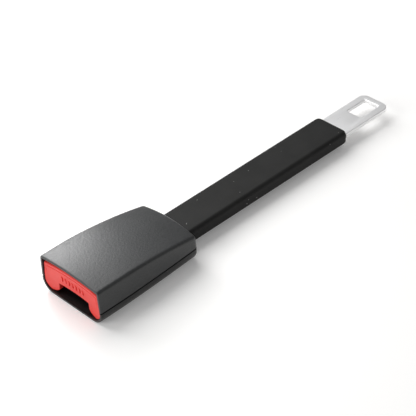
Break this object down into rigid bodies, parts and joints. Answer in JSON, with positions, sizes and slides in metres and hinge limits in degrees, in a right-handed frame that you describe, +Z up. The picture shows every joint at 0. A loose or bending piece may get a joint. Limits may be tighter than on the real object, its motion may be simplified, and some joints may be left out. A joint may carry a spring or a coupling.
{
  "type": "seat belt extender",
  "caption": "Rigid seat belt extender: push-button buckle housing, moulded stalk sleeve and a steel tongue plate with a latch window.",
  "frame": {"origin": "under the middle of the part's length, on the plane of the buckle's flat underside", "axes": "+X from the buckle's mouth to the tongue's tip, +Z up through the buckle's thickness, +Y to the left seen from the mouth"},
  "size_m": [0.25, 0.05, 0.025],
  "materials": {
    "cover_plastic": "finely grained black moulding, dull sheen",
    "sleeve_plastic": "smooth matt black moulding",
    "button_plastic": "coral red moulding, soft sheen",
    "frame_steel": "zinc-plated pressed steel",
    "tongue_steel": "satin plated steel",
    "spring_steel": "drawn spring wire",
    "inner_plastic": "plain black moulding",
    "webbing_fabric": "black woven polyester",
    "thread_fabric": "grey sewing thread"
  },
  "bodies": {
    "housing": {"upper_cover": "cover_plastic", "lower_cover": "cover_plastic", "frame": "frame_steel", "tongue_guide": "inner_plastic", "latch_pin": "frame_steel", "anchor_pin": "frame_steel", "latch_spring": "spring_steel", "ejector_spring": "spring_steel", "button_spring_left": "spring_steel", "button_spring_right": "spring_steel", "webbing": "webbing_fabric", "seam_buckle_end": "thread_fabric", "seam_tongue_end": "thread_fabric", "sleeve": "sleeve_plastic", "tongue": "tongue_steel", "cover_screw_1": "frame_steel", "cover_screw_2": "frame_steel", "cover_screw_3": "frame_steel", "cover_screw_4": "frame_steel"},
    "button": {"release_button": "button_plastic"},
    "lock_bar": {"lock_bar": "frame_steel"},
    "ejector": {"ejector": "inner_plastic"},
    "latch": {"latch": "frame_steel"}
  },
  "joints": [
    {"name": "button_slide", "type": "slide", "parent": "housing", "child": "button", "axis": [1, 0, 0], "range_m": [0, 0.005], "stiffness_N_per_m": 500, "springref_m": -0.008, "deforming": ["button_spring_left", "button_spring_right"]},
    {"name": "ejector_slide", "type": "slide", "parent": "housing", "child": "ejector", "axis": [1, 0, 0], "range_m": [0, 0.012], "stiffness_N_per_m": 150, "springref_m": -0.012, "deforming": ["ejector_spring"]},
    {"name": "latch_pivot", "type": "hinge", "parent": "housing", "child": "latch", "pos_m": [-0.0735, 0, 0.01255], "axis": [0, -1, 0], "range_deg": [0, 9], "deforming": ["latch_spring"]},
    {"name": "lock_bar_slide", "type": "slide", "parent": "button", "child": "lock_bar", "axis": [-1, 0, 0], "range_m": [0, 0.0045]}
  ],
  "couplings": [
    {"joint": "latch_pivot", "follows": "ejector_slide", "rad_per_m": 13.09},
    {"joint": "lock_bar_slide", "follows": "ejector_slide", "ratio": 0.375}
  ]
}
